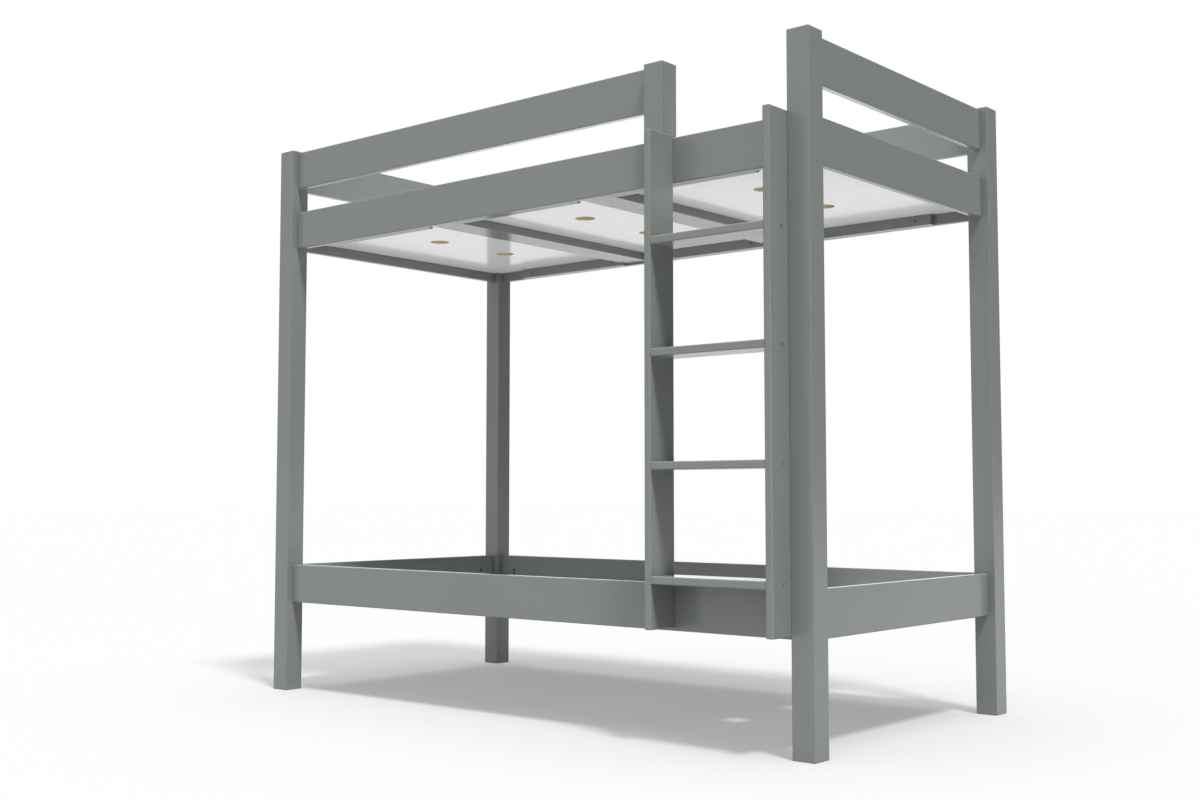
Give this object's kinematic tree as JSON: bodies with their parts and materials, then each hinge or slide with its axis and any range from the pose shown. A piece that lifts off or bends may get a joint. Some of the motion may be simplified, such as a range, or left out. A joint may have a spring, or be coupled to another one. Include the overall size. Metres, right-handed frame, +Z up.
{
  "type": "bunk bed",
  "caption": "Straight wooden bunk bed with square corner posts, upper and lower rail frames, guard rails, a fixed front ladder and loose base panels with finger holes.",
  "frame": {"origin": "on the floor, in the middle of the rectangle that the bed covers together with its ladder", "axes": "+X along the bed towards the ladder end, +Y across the bed away from the ladder, +Z up"},
  "size_m": [2.002, 1.088, 1.723],
  "materials": {
    "lacquered_wood": "satin grey-green lacquer on planed wood with eased edges",
    "melamine_board": "white melamine-faced chipboard with raw edges in the holes",
    "zinc_plated_steel": "bright zinc plating",
    "beech": "plain fluted beech"
  },
  "bodies": {
    "frame": {"post_front_left": "lacquered_wood", "post_front_right": "lacquered_wood", "post_rear_left": "lacquered_wood", "post_rear_right": "lacquered_wood", "guard_post": "lacquered_wood", "lower_rail_front": "lacquered_wood", "lower_rail_rear": "lacquered_wood", "lower_rail_left": "lacquered_wood", "lower_rail_right": "lacquered_wood", "upper_rail_front": "lacquered_wood", "upper_rail_rear": "lacquered_wood", "upper_rail_left": "lacquered_wood", "upper_rail_right": "lacquered_wood", "guard_rail_front": "lacquered_wood", "guard_rail_rear": "lacquered_wood", "guard_rail_left": "lacquered_wood", "guard_rail_right": "lacquered_wood", "ladder_stile_left": "lacquered_wood", "ladder_stile_right": "lacquered_wood", "ladder_rung_1": "lacquered_wood", "ladder_rung_2": "lacquered_wood", "ladder_rung_3": "lacquered_wood", "ladder_rung_4": "lacquered_wood", "lower_beam_left": "lacquered_wood", "lower_beam_right": "lacquered_wood", "upper_beam_left": "lacquered_wood", "upper_beam_right": "lacquered_wood", "lower_ledger_front_left": "lacquered_wood", "lower_ledger_front_middle": "lacquered_wood", "lower_ledger_front_right": "lacquered_wood", "lower_ledger_rear_left": "lacquered_wood", "lower_ledger_rear_middle": "lacquered_wood", "lower_ledger_rear_right": "lacquered_wood", "upper_ledger_front_left": "lacquered_wood", "upper_ledger_front_middle": "lacquered_wood", "upper_ledger_front_right": "lacquered_wood", "upper_ledger_rear_left": "lacquered_wood", "upper_ledger_rear_middle": "lacquered_wood", "upper_ledger_rear_right": "lacquered_wood", "rail_bolts": "zinc_plated_steel", "rail_washers": "zinc_plated_steel", "rail_nuts": "zinc_plated_steel", "rail_dowels": "beech", "ledger_screws": "zinc_plated_steel", "beam_dowels": "beech", "rung_screws": "zinc_plated_steel", "rung_dowels": "beech", "ladder_fixing_screws": "zinc_plated_steel", "guard_post_screws": "zinc_plated_steel"},
    "lower_panel_left": {"lower_panel_left": "melamine_board"},
    "lower_panel_middle": {"lower_panel_middle": "melamine_board"},
    "lower_panel_right": {"lower_panel_right": "melamine_board"},
    "upper_panel_left": {"upper_panel_left": "melamine_board"},
    "upper_panel_middle": {"upper_panel_middle": "melamine_board"},
    "upper_panel_right": {"upper_panel_right": "melamine_board"}
  },
  "joints": [
    {"name": "lower_panel_left_lift", "type": "slide", "parent": "frame", "child": "lower_panel_left", "axis": [0, 0, 1], "range_m": [0, 0.1]},
    {"name": "lower_panel_middle_lift", "type": "slide", "parent": "frame", "child": "lower_panel_middle", "axis": [0, 0, 1], "range_m": [0, 0.1]},
    {"name": "lower_panel_right_lift", "type": "slide", "parent": "frame", "child": "lower_panel_right", "axis": [0, 0, 1], "range_m": [0, 0.1]},
    {"name": "upper_panel_left_lift", "type": "slide", "parent": "frame", "child": "upper_panel_left", "axis": [0, 0, 1], "range_m": [0, 0.1]},
    {"name": "upper_panel_middle_lift", "type": "slide", "parent": "frame", "child": "upper_panel_middle", "axis": [0, 0, 1], "range_m": [0, 0.1]},
    {"name": "upper_panel_right_lift", "type": "slide", "parent": "frame", "child": "upper_panel_right", "axis": [0, 0, 1], "range_m": [0, 0.065]}
  ]
}
